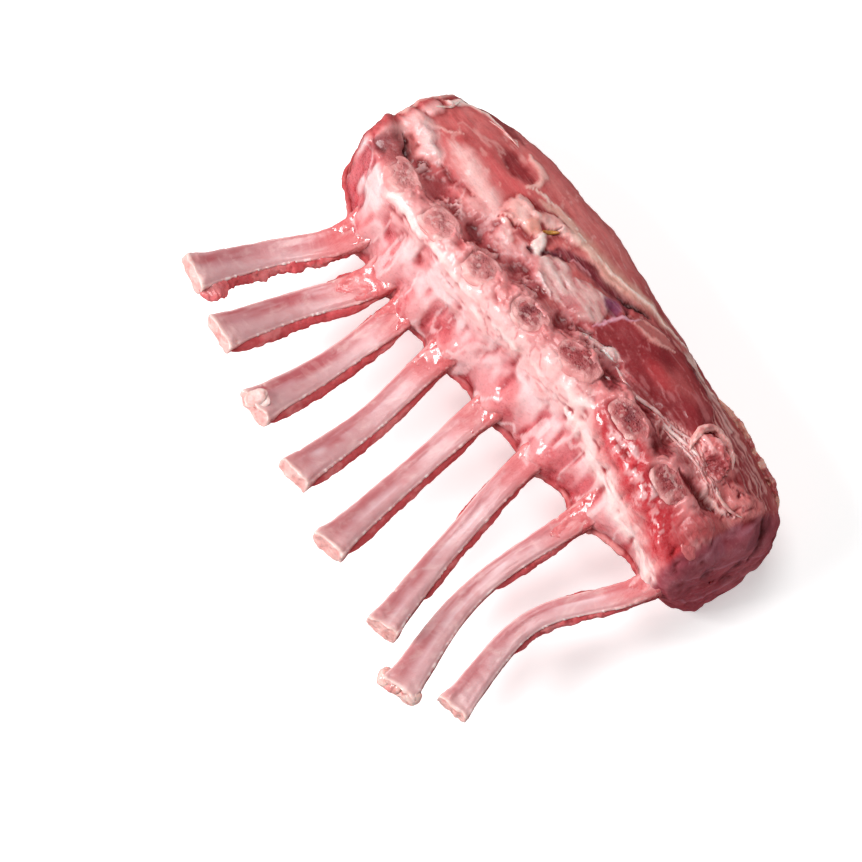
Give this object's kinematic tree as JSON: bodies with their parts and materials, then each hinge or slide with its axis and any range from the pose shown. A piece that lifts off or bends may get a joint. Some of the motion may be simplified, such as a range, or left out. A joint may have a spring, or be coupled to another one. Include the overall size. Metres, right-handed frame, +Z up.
{
  "type": "raw rack of lamb",
  "caption": "Raw rack of lamb lying on its fat side: a loin of red meat with trimmed rib bones reaching out of one long edge and sawn chine bones along its top.",
  "frame": {"origin": "a point on the flat spot that the meat rests on, under the loin", "axes": "+X along the rack to its neck end, +Y from the sawn chine towards the rib tips, +Z up"},
  "size_m": [0.2077, 0.1619, 0.0651],
  "materials": {
    "meat": "wet raw lamb: dark red muscle with pale pink fat and membrane",
    "rib_bone": "wet pink scraped rib bone",
    "sawn_bone": "sawn spongy bone with red marrow"
  },
  "bodies": {
    "root": {"meat": "meat", "rib_1": "rib_bone", "rib_2": "rib_bone", "rib_3": "rib_bone", "rib_4": "rib_bone", "rib_5": "rib_bone", "rib_6": "rib_bone", "rib_7": "rib_bone", "rib_8": "rib_bone", "chine_bone_1": "sawn_bone", "chine_bone_2": "sawn_bone", "chine_bone_3": "sawn_bone", "chine_bone_4": "sawn_bone", "chine_bone_5": "sawn_bone", "chine_bone_6": "sawn_bone", "chine_bone_7": "sawn_bone", "chine_bone_8": "sawn_bone"}
  },
  "joints": []
}
